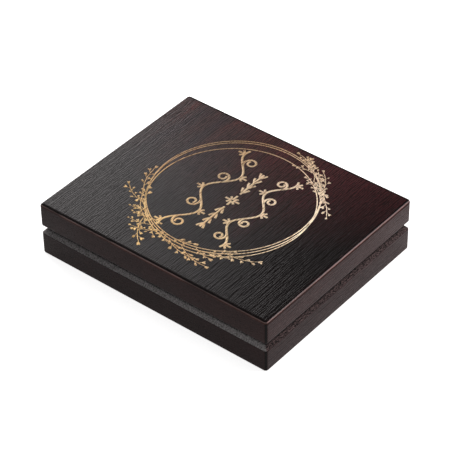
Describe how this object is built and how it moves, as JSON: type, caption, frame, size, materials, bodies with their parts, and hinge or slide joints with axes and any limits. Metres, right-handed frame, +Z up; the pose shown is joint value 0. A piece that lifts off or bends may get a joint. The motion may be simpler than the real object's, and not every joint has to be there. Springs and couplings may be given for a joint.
{
  "type": "bullion bar gift box",
  "caption": "Flat dark wooden presentation box with a V-groove at its parting line, a lid hinged at the back, and a lined recess for a gold bar in its card.",
  "frame": {"origin": "middle of the underside", "axes": "+X to the right as the lid is read, +Y from front to back, +Z up"},
  "size_m": [0.105, 0.129, 0.028],
  "materials": {
    "dark_wood": "dark stain, satin lacquer",
    "velour": "flocked velour",
    "brass": "satin",
    "magnet_nickel": "nickel plated",
    "greyboard": "raw pulp board"
  },
  "bodies": {
    "tray": {"tray_block": "dark_wood", "bed_pad": "velour", "insert_frame": "velour", "tray_magnet_left": "magnet_nickel", "hinge_left_tray_leaf": "brass", "hinge_left_pin": "brass", "hinge_left_tray_screws": "brass", "tray_magnet_right": "magnet_nickel", "hinge_right_tray_leaf": "brass", "hinge_right_pin": "brass", "hinge_right_tray_screws": "brass"},
    "lid": {"lid_block": "dark_wood", "lid_board": "greyboard", "lid_cushion": "velour", "lid_magnet_left": "magnet_nickel", "hinge_left_lid_leaf": "brass", "hinge_left_lid_screws": "brass", "lid_magnet_right": "magnet_nickel", "hinge_right_lid_leaf": "brass", "hinge_right_lid_screws": "brass"}
  },
  "joints": [
    {"name": "lid_hinge", "type": "hinge", "parent": "tray", "child": "lid", "pos_m": [0, 0.063, 0.0137], "axis": [-1, 0, 0], "range_deg": [0, 108]}
  ]
}
